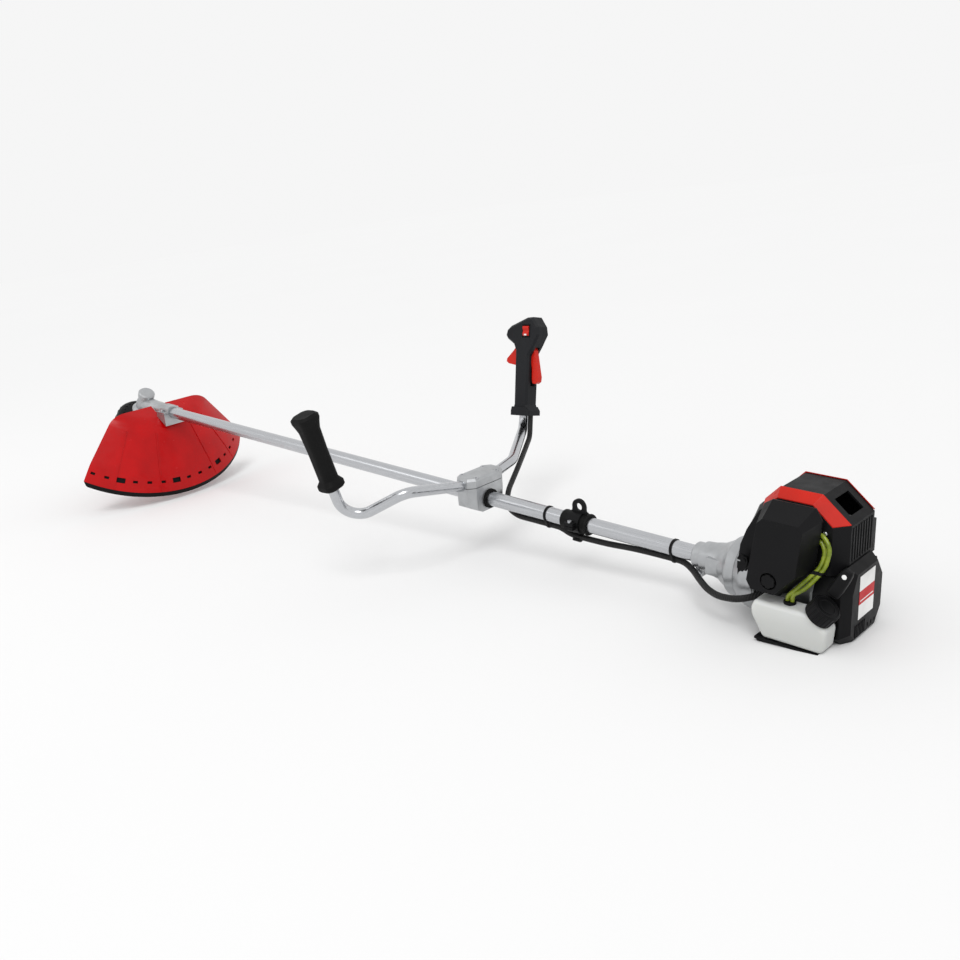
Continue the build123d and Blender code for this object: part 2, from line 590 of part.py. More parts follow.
BUSH_LENGTH = 14.0
BUSH_PITCH = 290.0
BUSH_COUNT = 5
with BuildPart() as bearings:
    # gearbox: one on the drive shaft, two on the output spindle
    tube_x(11.0, DRIVE_SHAFT_R + FIT, BEARING_X, BEARING_X + 8)
    rod(HEAD.offset(BARREL_LOW), CHAMBER_R, 8)
    rod(HEAD.offset(BARREL_LOW), 6.0 + FIT, 8, mode=Mode.SUBTRACT)
    rod(HEAD.offset(27), 11.0, 8)
    rod(HEAD.offset(27), 4.5 + FIT, 8, mode=Mode.SUBTRACT)
    # bushes inside the tube and the bearing of the clutch drum
    for number in range(BUSH_COUNT):
        bush_start = TUBE_FRONT + 150 + number * BUSH_PITCH
        tube_x(TUBE_R - TUBE_WALL, DRIVE_SHAFT_R + FIT, bush_start, bush_start + BUSH_LENGTH)
    tube_x(16, 9 + FIT, 266, 278)
save(bearings, "bearings")

with BuildPart() as clamp_screws:
    # under the gearbox neck and the clutch housing neck, across the shaft
    for x, z, half, head_r in ((LUG_X, -21.5, 7.2, 4.5), (237, -26, 7.2, 4.4)):
        rod(side_view(half), 2.5, 2 * half, (x, z))
        for start in (-half, half + 4):
            rod(side_view(start), head_r, 4, (x, z))
    # down through the guard's clamp, the hanger and the handle bracket
    for side in (-1, 1):
        rod(Plane.XY.offset(-14), 2.5, 20, (CLAMP_BOLT, side * 20.8))
        rod(Plane.XY.offset(5.1), 3.4, 4, (CLAMP_BOLT, side * 20.8))
        rod(Plane.XY.offset(-6), 2.0, 12.5, (0, side * HANGER_BOLT_Y))
        rod(Plane.XY.offset(6.1), 3.6, 3, (0, side * HANGER_BOLT_Y))
        for x in BOLT_X:
            rod(Plane.XY.offset(5), 2.5, CAP_TOP - 9, (x, side * BOLT_Y))
            rod(Plane.XY.offset(CAP_TOP - 3.9), 4.3, 3.9, (x, side * BOLT_Y))
            rod(Plane.XY.offset(CAP_TOP - 2), 2.0, 3, (x, side * BOLT_Y), Mode.SUBTRACT)
save(clamp_screws, "clamp_screws")

with BuildPart() as clutch_drum:
    rod_x(9, 266, DRUM_FRONT + 1)
    rod_x(39, DRUM_FRONT, 314)
    rod_x(36.4, DRUM_FRONT + 3, 314, mode=Mode.SUBTRACT)
    rod_x(DRIVE_SHAFT_R, 266, DRUM_FRONT, mode=Mode.SUBTRACT)
save(clutch_drum, "clutch_drum")


# ================================================================ engine block
FAN_R = 56.0
FAN_BACK = 352.0
CASE_FRONT = 352.3
CASE_BACK = 442.0
PLATE_BACK = 445.7
DECK_Z = 42.0
CRANK_R = 7.0
PIN_Z = CRANK_THROW
PISTON_PIN_Z = 76.0

FAN_OUTSIDE = [(FLANGE_X + 0.2, 30), (FLANGE_X + 0.2, FLANGE_R), (322, 49.5), (330, 54.5), (336, FAN_R), (FAN_BACK, FAN_R)]
FAN_INSIDE = [(FAN_BACK, 52.5), (336, 52.5), (331, 51.3), (323, 46), (319.5, 42), (319.5, 30)]
with BuildPart() as fan_housing:
    turned(Plane.XZ, FAN_OUTSIDE + FAN_INSIDE, Axis.X)
save(fan_housing, "fan_housing")

with BuildPart() as flywheel:
    # the fan wheel, and ahead of it the two clutch shoes bolted to it
    rod_x(38, 324, 334)
    rod_x(14, 318, 346)
    for number in range(18):
        swing = Location((0, 0, 0), (number * 20, 0, 0))
        with Locations(swing * Location((340, 0, 40), (0, 0, 20))):
            Box(16, 2.2, 18)
    tube_x(35.6, 14, 304.5, 313)
    block((300, -40, -3), (316, 40, 3), Mode.SUBTRACT)
    for side in (-1, 1):
        rod_x(3.5, 310, 326, (0, side * 24))
    rod_x(CRANK_R, 300, 348, mode=Mode.SUBTRACT)
save(flywheel, "flywheel")

with BuildPart() as crankshaft:
    rod_x(CRANK_R, 304.5, 385)
    rod_x(CRANK_R, 407, 451)
    for start in (382, 403):
        rod_x(24, start, start + 7)
    rod_x(5, 388, 404, (0, PIN_Z))
save(crankshaft, "crankshaft")

with BuildPart() as connecting_rod:
    block((392.5, -5, PIN_Z), (399.5, 5, PISTON_PIN_Z))
    rod_x(9.5, 391, 401, (0, PIN_Z))
    rod_x(8, 391, 401, (0, PISTON_PIN_Z))
    rod_x(5 + FIT, 389, 403, (0, PIN_Z), Mode.SUBTRACT)
    rod_x(4 + FIT, 389, 403, (0, PISTON_PIN_Z), Mode.SUBTRACT)
save(connecting_rod, "connecting_rod")

UPRIGHT = Plane(origin=(CYLINDER_X, 0, 0))
with BuildPart() as piston:
    rod(UPRIGHT.offset(64), BORE_R - FIT, 32)
    rod(UPRIGHT.offset(63), BORE_R - 3, 29, mode=Mode.SUBTRACT)
    for start, end in ((CYLINDER_X - 20, CYLINDER_X - 6), (CYLINDER_X + 6, CYLINDER_X + 20)):
        rod_x(7, start, end, (0, PISTON_PIN_Z))
    rod_x(4, CYLINDER_X - 10, CYLINDER_X + 10, (0, PISTON_PIN_Z))
save(piston, "piston")


STARTER_OUTLINE = [(-60, -40), (-60, 20), (-50, 44), (50, 44), (60, 20), (60, -30), (36, -58), (-44, -58)]
with BuildPart() as crankcase:
    rod_x(38, CASE_FRONT, CASE_BACK)
    rod_x(FAN_R - 0.5, CASE_FRONT, CASE_FRONT + 3.5)
    block((364, -31, 0), (428, 31, DECK_Z))
    slab(Plane.YZ.offset(CASE_BACK), STARTER_OUTLINE, PLATE_BACK - CASE_BACK)
    block((384, -56, -9), (390, -34, 8))
    rod_x(31, 362, 434, mode=Mode.SUBTRACT)
    rod(UPRIGHT.offset(20), BORE_R + 1, 30, mode=Mode.SUBTRACT)
    rod_x(CRANK_R + FIT, 350, 450, mode=Mode.SUBTRACT)
save(crankcase, "crankcase")

EXHAUST = (396, 66)
INTAKE = (406, 80)
FIN_FIRST = 54.0
FIN_PITCH = 8.0
FIN_COUNT = 8
with BuildPart() as cylinder:
    block((366, -30, DECK_Z), (426, 30, DECK_Z + 5))
    rod(UPRIGHT.offset(DECK_Z), 26.5, 78)
    for number in range(FIN_COUNT):
        fin_z = FIN_FIRST + number * FIN_PITCH
        block((CYLINDER_X - 36, -34, fin_z), (CYLINDER_X + 36, 34, fin_z + 2.2))
    block((382, 24, 54), (410, 40.2, 78))
    block((390, -40.2, 66), (422, -24, 94))
    rod(UPRIGHT.offset(DECK_Z - 1), BORE_R, 63, mode=Mode.SUBTRACT)
    rod(UPRIGHT.offset(100), 5.0, 30, mode=Mode.SUBTRACT)
    rod(side_view(41), 8, 22, EXHAUST, Mode.SUBTRACT)
    rod(side_view(-19), 8, 22, INTAKE, Mode.SUBTRACT)
save(cylinder, "cylinder")

with BuildPart() as spark_plug:
    rod(UPRIGHT.offset(108), 5.0, 20)
    with BuildSketch(UPRIGHT.offset(120)):
        RegularPolygon(8, 6)
    extrude(amount=7)
    rod(UPRIGHT.offset(127), 4.4, 10)
    # rubber cap
    rod(UPRIGHT.offset(128), 8, 15)
    fillet(spark_plug.faces().sort_by(Axis.Z)[-1].edges(), 4)
save(spark_plug, "spark_plug")

MUFFLER_LOW = 48.0
MUFFLER_TOP = 90.0
with BuildPart() as muffler:
    block((384, 40.5, MUFFLER_LOW), (468, 65, MUFFLER_TOP))
    fillet(muffler.edges().filter_by(Axis.Y), 8)
    block((387, 43.5, MUFFLER_LOW + 3), (465, 62, MUFFLER_TOP - 3), Mode.SUBTRACT)
    rod(side_view(46), 8, 10, EXHAUST, Mode.SUBTRACT)
    rod_x(5, 460, 480, (54, 56), Mode.SUBTRACT)
save(muffler, "muffler")

with BuildPart() as muffler_guard:
    block((380, 52.4, MUFFLER_LOW - 4), (474, 72, MUFFLER_TOP + 3))
    chamfer(muffler_guard.faces().sort_by(Axis.Y)[-1].edges(), 5)
    block((383, 50, MUFFLER_LOW - 1), (471, 69, MUFFLER_TOP + 0.4), Mode.SUBTRACT)
    with Locations(*[Location((391 + 9.5 * number, 70, 64)) for number in range(9)]):
        Box(4, 12, 30, mode=Mode.SUBTRACT)
    block((468, 50, 50), (476, 60, 62), Mode.SUBTRACT)
    for x in (396, 456):
        rod(side_view(70), 3, 4.8, (x, 84))
save(muffler_guard, "muffler_guard")

# ================================================================ starter
PULLEY_FRONT = 452.0
PULLEY_BACK = 464.0
GRIP_POINT = (486.0, -71.0, 48.5)
GUIDE_Y = -61.0
REAR_NEAR = [(-60, -40), (-60, 26), (-46, 60), (30, 60), (60, 26), (60, -30), (36, -58), (-44, -58)]
REAR_FAR = [(-48, -34), (-48, 24), (-36, 50), (26, 50), (44, 24), (44, -24), (28, -46), (-36, -46)]
with BuildPart() as starter_housing:
    slab(Plane.YZ.offset(STARTER_X), STARTER_OUTLINE, 485.4 - STARTER_X)
    skin(polygon(Plane.YZ.offset(485.4), REAR_NEAR), polygon(Plane.YZ.offset(497), REAR_FAR))
    block((481, GUIDE_Y, 40), (492, -44, 57))
    hollow = [(-57, -38), (-57, 18), (-48, 40.5), (48, 40.5), (56, 18), (56, -28), (34, -54), (-42, -54)]
    slab(Plane.YZ.offset(STARTER_X - 1), hollow, 41, Mode.SUBTRACT)
    rod_x(43, 480, 493.5, mode=Mode.SUBTRACT)
    rod_x(5, PULLEY_FRONT, 495)
    rod(side_view(GUIDE_Y + 30), 2.4, 31, (GRIP_POINT[0], GRIP_POINT[2]), Mode.SUBTRACT)
    # cooling slots low on the left and across the lower rear
    for number in range(6):
        block((452 + 5.5 * number, -64, -36), (454.5 + 5.5 * number, -50, -14), Mode.SUBTRACT)
        block((490, -30 + 11 * number, -42), (500, -27 + 11 * number, -36), Mode.SUBTRACT)
save(starter_housing, "starter_housing")


with BuildPart() as starter_pulley:
    turned(Plane.XZ, [(PULLEY_FRONT, 5 + FIT), (PULLEY_FRONT, 33), (454, 33), (456, PULLEY_R),
                      (460, PULLEY_R),
                      (462, 33), (PULLEY_BACK, 33), (PULLEY_BACK, 5 + FIT)], Axis.X)
    for turn in range(4):
        angle = radians(90 * turn)
        rod_x(5, PULLEY_FRONT - 1, PULLEY_BACK + 1, (17 * cos(angle), 17 * sin(angle)), Mode.SUBTRACT)
save(starter_pulley, "starter_pulley")

GRIP_TILT = 33.0
with BuildPart() as starter_grip:
    bar_plane = Plane(origin=GRIP_POINT, z_dir=(sin(radians(GRIP_TILT)), 0, cos(radians(GRIP_TILT))))
    rod(bar_plane.offset(-19), 6.2, 38)
    fillet(starter_grip.edges(), 2.5)
    rod(side_view(GUIDE_Y - 2.6), 4.2, 6, (GRIP_POINT[0], GRIP_POINT[2]))
    rod(side_view(GUIDE_Y - 2), 1.8 + FIT, 9, (GRIP_POINT[0], GRIP_POINT[2]), Mode.SUBTRACT)
save(starter_grip, "starter_grip")

with BuildPart() as starter_rope:
    rod(side_view(GUIDE_Y + 14), 1.8, 24.9, (GRIP_POINT[0], GRIP_POINT[2]))
save(starter_rope, "starter_rope")

# ================================================================ carburettor
CARB_FRONT = -60.0
THROTTLE_AXIS = (406.0, -50.5)
PRIMER_R = 8.0

with BuildPart() as carburettor:
    block((390, CARB_FRONT, 64), (422, -40.4, 96))
    block((387, -58, 70), (425, -43, 92))
    rod(Plane.XY.offset(60), 9.8, 5, (406, -50))
    rod(side_view(-40), 9, 21, INTAKE, Mode.SUBTRACT)
    rod(Plane.XY.offset(90), 3 + FIT, 8, THROTTLE_AXIS, Mode.SUBTRACT)
    rod(Plane.XY.offset(59), PRIMER_R + 0.4, 6, (406, -50), Mode.SUBTRACT)
save(carburettor, "carburettor")

with BuildPart() as carb_throttle_lever:
    rod(Plane.XY.offset(90.2), 3, 8, THROTTLE_AXIS)
    rod(Plane.XY.offset(96.3), 7, 3, THROTTLE_AXIS)
    block((388, -53, 96.3), (406, -48, 99.3))
    rod(Plane.XY.offset(96.3), 2.5, 3, (388, -50.5))
save(carb_throttle_lever, "carb_throttle_lever")

with BuildPart() as primer_bulb:
    rod(Plane.XY.offset(50), PRIMER_R, 11.5, (406, -50))
    fillet(primer_bulb.faces().sort_by(Axis.Z)[0].edges(), 5)
save(primer_bulb, "primer_bulb")

# ================================================================ air filter
KNOB_AT = (400, 38)
COVER_BASE = [(352, 24), (372, 134), (384, 142), (446, 142), (456, 126), (448, 54), (410, 10), (368, 10)]
COVER_FACE = [(367, 32), (380, 118), (388, 126), (440, 126), (446, 118), (438, 52), (407, 20), (374, 20)]
COVER_BASE_INSIDE = [(355, 25), (374.6, 132.6), (385, 139.4), (444.4, 139.4), (453.2, 125.2), (445.2, 55),
                     (408.7, 12.6), (369.2, 12.6)]
COVER_FACE_INSIDE = [(369, 33), (381.6, 116.6), (389, 123.6), (439, 123.6), (443.8, 117), (435.8, 53),
                     (405.6, 22.2), (375, 22.2)]
CHOKE_PIVOT = (346, 44)

with BuildPart() as air_filter_case:
    slab(side_view(-60.2), COVER_BASE, 2.8)
    block((338, -63, 38), (358, -60.2, 50))
    rod(side_view(-60.2), 3, 9, CHOKE_PIVOT)
    rod(side_view(-60.2), 6, 24, KNOB_AT)
    rod(side_view(-60), 9, 4, INTAKE, Mode.SUBTRACT)
    rod(side_view(-60), 3 + FIT, 30, KNOB_AT, Mode.SUBTRACT)
save(air_filter_case, "air_filter_case")

with BuildPart() as choke_lever:
    slab(side_view(-64.4), [(340, 38), (338, 30), (344, 26), (349, 32), (352, 42), (350, 49),
                            (343, 50)], 3.4)
    rod(side_view(-63.4), 5.5, 4.4, CHOKE_PIVOT)
    rod(side_view(-63), 3 + FIT, 6, CHOKE_PIVOT, Mode.SUBTRACT)
save(choke_lever, "choke_lever")

with BuildPart() as air_filter_foam:
    slab(side_view(-64), [(373, 62), (383, 126), (437, 126), (440, 118), (434, 62)], 16)
save(air_filter_foam, "air_filter_foam")

with BuildPart() as air_filter_cover:
    skin(polygon(side_view(FILTER_SEAT_Y), COVER_BASE), polygon(side_view(FILTER_FACE_Y), COVER_FACE))
    skin(polygon(side_view(FILTER_SEAT_Y), COVER_BASE_INSIDE), polygon(side_view(FILTER_FACE_Y + 2.5), COVER_FACE_INSIDE),
         Mode.SUBTRACT)
    rod(side_view(-86), 14.5, 11, KNOB_AT)
    rod(side_view(-91), 12, 12, KNOB_AT, Mode.SUBTRACT)
    rod(side_view(-80), 3.3, 20, KNOB_AT, Mode.SUBTRACT)
save(air_filter_cover, "air_filter_cover")

with BuildPart() as filter_knob:
    rod(side_view(-91.3), 10, 8, KNOB_AT)
    for turn in range(6):
        angle = radians(60 * turn)
        rod(side_view(-91), 2.2, 9, (KNOB_AT[0] + 11 * cos(angle), KNOB_AT[1] + 11 * sin(angle)), Mode.SUBTRACT)
    rod(side_view(-61), 3, 31, KNOB_AT)
save(filter_knob, "filter_knob")

# ================================================================ fuel tank
TANK_LOW = -50.5
TANK_FRONT = -94.5
TOWER = [(377, 3), (372, -9), (373, -20), (391, TANK_LOW), (475.5, TANK_LOW), (481, -44), (483.5, -16), (459, 3)]
TOWER_INSIDE = [(380, 0.5), (374.5, -10), (375.5, -19.6), (392.6, -48), (474, -48), (478.5, -43), (481, -16.8), (458.4, 0.5)]
NECK = Plane(origin=(462, -81.2, -5), z_dir=(0.6, 0, 0.79))
CAP_R = 20.4
CAP_START = 5.2
CAP_LENGTH = 21.0
GROMMET_X = (418.5, 425.5)
GROMMET_Y = -76.0

with BuildPart() as fuel_tank:
    slab(side_view(-65), TOWER, -65 - TANK_FRONT)
    fillet(fuel_tank.edges().filter_by(Axis.Y), 8)
    fillet(fuel_tank.faces().sort_by(Axis.Y)[0].edges(), 6)
    block((378, -66, TANK_LOW), (441, -42, -24))
    block((380, -44, TANK_LOW), (441, 62, -42))
    rod(NECK.offset(-9), 13, 21)
    slab(side_view(-67), TOWER_INSIDE, 24, Mode.SUBTRACT)
    block((392, -70, -48.5), (439, -44, -26), Mode.SUBTRACT)
    block((382, -46, -48.5), (439, 60, -44), Mode.SUBTRACT)
    rod(NECK.offset(-9), 10, 22, mode=Mode.SUBTRACT)
save(fuel_tank, "fuel_tank")

with BuildPart() as fuel_cap:
    rod(NECK.offset(CAP_START), CAP_R, CAP_LENGTH)
    fillet(fuel_cap.edges(), 1.6)
    with Locations(NECK.location * Location((0, 0, CAP_START + CAP_LENGTH / 2))):
        with PolarLocations(CAP_R + 0.6, 20):
            Cylinder(1.5, CAP_LENGTH + 2, mode=Mode.SUBTRACT)
    rod(NECK.offset(CAP_START - 1), 13.05, 8.4, mode=Mode.SUBTRACT)
save(fuel_cap, "fuel_cap")

with BuildPart() as tank_guard:
    # plate under the tank, clear of the starter, with a lip along its front and runners below
    block((380, -95, -54.8), (441, 60, -51.3))
    block((380, -95, -54.8), (479, -64, -51.3))
    for y in (-92, -52, 48):
        block((382, y, BASE_Z), (441, y + 12, -54))
    chamfer(tank_guard.edges().filter_by(Axis.Y).group_by(Axis.Z)[0], 1.5)
save(tank_guard, "tank_guard")

with BuildPart() as tank_grommet:
    rod(Plane.XY.offset(3.2), 8.5, 4, (sum(GROMMET_X) / 2, GROMMET_Y))
    for x in GROMMET_X:
        rod(Plane.XY.offset(3), FUEL_LINE_R + FIT, 6, (x, GROMMET_Y), Mode.SUBTRACT)
save(tank_grommet, "tank_grommet")

# ================================================================ cords held by the object


def cord(name, points, radius):
    """Round cord along a route, its straight runs joined by tangent arcs."""
    with BuildPart() as line:
        with BuildLine() as path:
            FilletPolyline(*points, radius=cord_path(name, points))
        with BuildSketch(Plane(origin=path.line @ 0, z_dir=path.line % 0)) as section:
            Circle(radius)
        sweep(section.sketch, path=path.line)
    length = sum(edge.length for edge in path.edges())
    print(name, "length", round(length), "volume ratio", round(line.part.volume / (pi * radius**2 * length), 3))
    return line


OUTER_FUEL_ROUTE = [(428, -55, 93), (438, -55, 104), (455, -56.5, 104.5), (469, -62, 90), (467, -69, 65), (455, -74, 46),
                    (441, -76.5, 28), (GROMMET_X[1], GROMMET_Y, 17), (GROMMET_X[1], GROMMET_Y, 3.4)]
INNER_FUEL_ROUTE = [(428, -55, 86), (438, -55, 96.5), (452, -56.5, 96), (462, -61, 84), (460, -68.5, 64), (447, -73.5, 47),
                    (433, -76.3, 30), (GROMMET_X[0], GROMMET_Y, 13.5), (GROMMET_X[0], GROMMET_Y, 3.4)]
with BuildPart() as fuel_lines:
    add(cord("outer fuel line", OUTER_FUEL_ROUTE, FUEL_LINE_R).part)
    add(cord("inner fuel line", INNER_FUEL_ROUTE, FUEL_LINE_R).part)
save(fuel_lines, "fuel_lines")

CABLE_ROUTE = [
    tuple(RIGHT_HANDLE.from_local_coords((17, 0, 7))),
    tuple(RIGHT_HANDLE.from_local_coords((17, 0, -12))),
    (-296, 228, 37), (-266, 179, 31), (-227, 112, 21), (-195, 45, 0), (-174, 18, -16), (-138, 3, -21),
    (-88, 0, -18.7), (-36, 0, -18.7), (-16, 0, -26), (14, 0, -26.3), (62, 0, -25), (116, 0, -20),
    (172, 0, -18.7),
    (206, 0, -18.7), (232, -16, -20), (254, -34, -22.5), (280, -54, -24), (308, -69, -22),
    (348, -77, -13), (380, -49, -1),
]
save(cord("control cable", CABLE_ROUTE, CABLE_R), "control_cable")

TIE_AT = (-62.0, 189.0)
with BuildPart() as cable_ties:
    for x in TIE_AT:
        for wall, mode in ((1.4, Mode.ADD), (FIT, Mode.SUBTRACT)):
            with BuildSketch(Plane.YZ.offset(x - 2.2)) as band:
                Circle(TUBE_R + wall)
                with Locations((0, -18.7)):
                    Circle(CABLE_R + wall)
                make_hull()
            extrude(band.sketch, amount=4.4, mode=mode)
        block((x - 2.8, TUBE_R + 0.4, -9), (x + 2.8, TUBE_R + 4, -3))
save(cable_ties, "cable_ties")

# ================================================================ engine cover
COVER_TOP = [(326, 20), (331, 60), (338, 88), (350, 118), (382, 151), (442, 151), (484, 116), (484, 46)]
COVER_SIDE = [(326, 20), (331, 60), (340, 84), (358, 116), (386, 140), (436, 140), (466, 114), (466, 46)]
COVER_TOP_INSIDE = [(328.5, 0), (334, 60), (341, 87), (352.8, 116.3), (383.2, 148), (440.9, 148),
                    (481, 114.6), (481, 30)]
COVER_SIDE_INSIDE = [(328.5, 0), (334, 60), (342.8, 82.7), (360.3, 114), (387.1, 137), (434.9, 137),
                     (463, 112.6), (463, 30)]
TRIM_INNER = [(483.1, 117), (442.1, 151.2), (381.9, 151.2), (359.5, 128.2)]
TRIM_INNER_RAISED = [(358.3, 129.4), (381.2, 152.8), (442.7, 152.8), (484.2, 118.3)]
TRIM_OUTER = [(465.1, 115.2), (436.1, 140.2), (385.9, 140.2), (364.9, 122.2)]
TRIM_OUTER_RAISED = [(363.7, 123.4), (385.3, 141.8), (436.7, 141.8), (466.2, 116.5)]

with BuildPart() as engine_cover:
    slab(side_view(COVER_TOP_HALF), COVER_TOP, 2 * COVER_TOP_HALF)
    for side in (-1, 1):
        skin(polygon(side_view(side * COVER_TOP_HALF), COVER_TOP), polygon(side_view(side * COVER_HALF), COVER_SIDE))
    slab(side_view(COVER_TOP_HALF - 1.5), COVER_TOP_INSIDE, 2 * COVER_TOP_HALF - 3, Mode.SUBTRACT)
    for side in (-1, 1):
        skin(polygon(side_view(side * (COVER_TOP_HALF - 1.5)), COVER_TOP_INSIDE),
             polygon(side_view(side * (COVER_HALF - 3)), COVER_SIDE_INSIDE), Mode.SUBTRACT)
    rod_x(FAN_R + 0.4, 320, 357, mode=Mode.SUBTRACT)
    # room for the starter, carburettor side, muffler side, and the window over the fins
    block((440, -60, 10), (490, 60, 46), Mode.SUBTRACT)
    block((378, -60, 20), (446, -40, 112), Mode.SUBTRACT)
    block((376, 40, 20), (476, 60, 96), Mode.SUBTRACT)
    slope = Plane(origin=(463, 0, 133.5), x_dir=(0, 1, 0), z_dir=(0.64, 0, 0.768))
    with Locations(slope.location):
        Box(40, 30, 14, mode=Mode.SUBTRACT)
    for number in range(8):
        block((483, -29.5 + 8 * number, 64), (485.2, -26.5 + 8 * number, 112))
save(engine_cover, "engine_cover")

with BuildPart() as cover_trim:
    for side in (-1, 1):
        skin(polygon(side_view(side * (COVER_TOP_HALF + 0.5)), TRIM_INNER + TRIM_INNER_RAISED),
             polygon(side_view(side * (COVER_HALF - 0.3)), TRIM_OUTER + TRIM_OUTER_RAISED))
save(cover_trim, "cover_trim")
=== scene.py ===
from math import cos, pi, radians, sin

import bmesh
import bpy
from mathutils import Matrix, Vector


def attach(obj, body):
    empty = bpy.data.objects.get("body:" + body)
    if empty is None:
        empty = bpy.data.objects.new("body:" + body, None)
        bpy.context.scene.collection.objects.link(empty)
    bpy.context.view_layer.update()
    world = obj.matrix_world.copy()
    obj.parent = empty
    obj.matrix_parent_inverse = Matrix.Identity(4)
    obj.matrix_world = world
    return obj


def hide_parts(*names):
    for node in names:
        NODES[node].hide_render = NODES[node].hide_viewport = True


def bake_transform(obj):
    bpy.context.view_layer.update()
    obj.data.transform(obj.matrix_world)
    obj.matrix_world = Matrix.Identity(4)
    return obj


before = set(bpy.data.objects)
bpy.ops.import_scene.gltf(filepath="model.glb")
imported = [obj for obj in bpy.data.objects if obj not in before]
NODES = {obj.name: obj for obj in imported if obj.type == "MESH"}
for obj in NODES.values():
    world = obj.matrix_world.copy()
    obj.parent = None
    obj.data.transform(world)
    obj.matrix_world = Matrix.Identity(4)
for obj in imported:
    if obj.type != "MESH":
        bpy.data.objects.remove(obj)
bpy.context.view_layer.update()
SCENE = bpy.context.scene
SCENE.view_settings.view_transform = "Standard"

# The shaft frame of part.py: the shaft's axis is X. EYE is the harness eye in it, in metres, and the row
# frame's origin.
EYE = Vector((0.004, 0.0, 0.028))


def here(x, y, z):
    """A point of the shaft frame, given in millimetres, in the row frame."""
    return Vector((x, y, z)) / 1000 - EYE


HANDLE_UP = Vector((-0.10, 0.24, 1.0)).normalized()
HANDLE_TILT = Vector((1, 0, 0.10))
HANDLE_AHEAD = (HANDLE_TILT - HANDLE_UP * HANDLE_UP.dot(HANDLE_TILT)).normalized()
HANDLE_OUT = HANDLE_UP.cross(HANDLE_AHEAD)


def on_handle(x, y, z):
    """A point of the throttle handle's own frame, given in millimetres, in the row frame."""
    return here(-326.5, 248.5, 71) + (HANDLE_AHEAD * x + HANDLE_OUT * y + HANDLE_UP * z) / 1000


# ---------------------------------------------------------------- materials
class Shader:
    """Builds one node material around a Principled shader."""

    def __init__(self, name, color, roughness, metallic=0.0, **sockets):
        self.material = bpy.data.materials.new(name)
        self.material.use_nodes = True
        self.tree = self.material.node_tree
        self.surface = self.tree.nodes["Principled BSDF"]
        self.set("Base Color", (*color, 1))
        self.set("Roughness", roughness)
        self.set("Metallic", metallic)
        for socket, value in sockets.items():
            self.set(socket.replace("_", " "), value)
        self.place = self.tree.nodes.new("ShaderNodeTexCoord").outputs["Object"]
        self.height = None

    def set(self, socket, value):
        self.surface.inputs[socket].default_value = value

    def link(self, source, target):
        self.tree.links.new(source, target)

    def stretched(self, scale):
        """Object coordinates, scaled along each axis."""
        mapping = self.tree.nodes.new("ShaderNodeMapping")
        mapping.inputs["Scale"].default_value = scale
        self.link(self.place, mapping.inputs["Vector"])
        return mapping.outputs["Vector"]

    def noise(self, scale, detail=3.0, rough=0.55, stretch=None):
        node = self.tree.nodes.new("ShaderNodeTexNoise")
        node.inputs["Scale"].default_value = scale
        node.inputs["Detail"].default_value = detail
        node.inputs["Roughness"].default_value = rough
        self.link(self.stretched(stretch) if stretch else self.place, node.inputs["Vector"])
        return node.outputs["Fac"]

    def voronoi(self, scale):
        node = self.tree.nodes.new("ShaderNodeTexVoronoi")
        node.inputs["Scale"].default_value = scale
        self.link(self.place, node.inputs["Vector"])
        return node.outputs["Distance"]

    def ramp(self, source, stops):
        """Colour ramp: stops are (position, colour or grey)."""
        node = self.tree.nodes.new("ShaderNodeValToRGB")
        elements = node.color_ramp.elements
        while len(elements) < len(stops):
            elements.new(0.5)
        for element, (position, tone) in zip(elements, stops):
            element.position = position
            element.color = (*tone, 1) if isinstance(tone, tuple) else (tone, tone, tone, 1)
        self.link(source, node.inputs["Fac"])
        return node.outputs["Color"]

    def vary(self, socket, source, low, high):
        """Drives a socket from low to high over the middle of the source's range."""
        self.link(self.ramp(source, [(0.3, low), (0.7, high)]), self.surface.inputs[socket])

    def vary_color(self, source, low, high):
        self.vary("Base Color", source, low, high)

    def vary_roughness(self, source, low, high):
        self.vary("Roughness", source, low, high)

    def bump(self, source, distance, strength=1.0):
        """Adds a relief of that depth in metres, on top of any before."""
        node = self.tree.nodes.new("ShaderNodeBump")
        node.inputs["Distance"].default_value = distance
        node.inputs["Strength"].default_value = strength
        self.link(source, node.inputs["Height"])
        if self.height:
            self.link(self.height, node.inputs["Normal"])
        self.height = node.outputs["Normal"]
        self.link(self.height, self.surface.inputs["Normal"])


def shade(color, factor):
    return tuple(min(1.0, channel * factor) for channel in color)


def moulded(name, color, roughness, grain=900.0, depth=0.00006, **sockets):
    """Injection-moulded plastic: fine spark-eroded grain and slightly uneven gloss."""
    shader = Shader(name, color, roughness, **sockets)
    shader.vary_color(shader.noise(14, 4), shade(color, 0.86), shade(color, 1.14))
    shader.vary_roughness(shader.noise(60, 5), max(0.03, roughness - 0.06), roughness + 0.08)
    shader.bump(shader.noise(grain, 2), depth, 0.5)
    shader.bump(shader.noise(22, 2), 0.0004, 0.12)
    return shader.material


def drawn_metal(name, color, roughness, along=(3, 160, 160), **sockets):
    """Drawn or turned metal: long fine streaks along the stock."""
    shader = Shader(name, color, roughness, 1.0, **sockets)
    streaks = shader.noise(9, 5, 0.65, along)
    shader.vary_color(streaks, shade(color, 0.88), shade(color, 1.06))
    shader.vary_roughness(shader.noise(7, 6, 0.7, along), roughness - 0.07, roughness + 0.10)
    shader.bump(streaks, 0.00003, 0.2)
    return shader.material


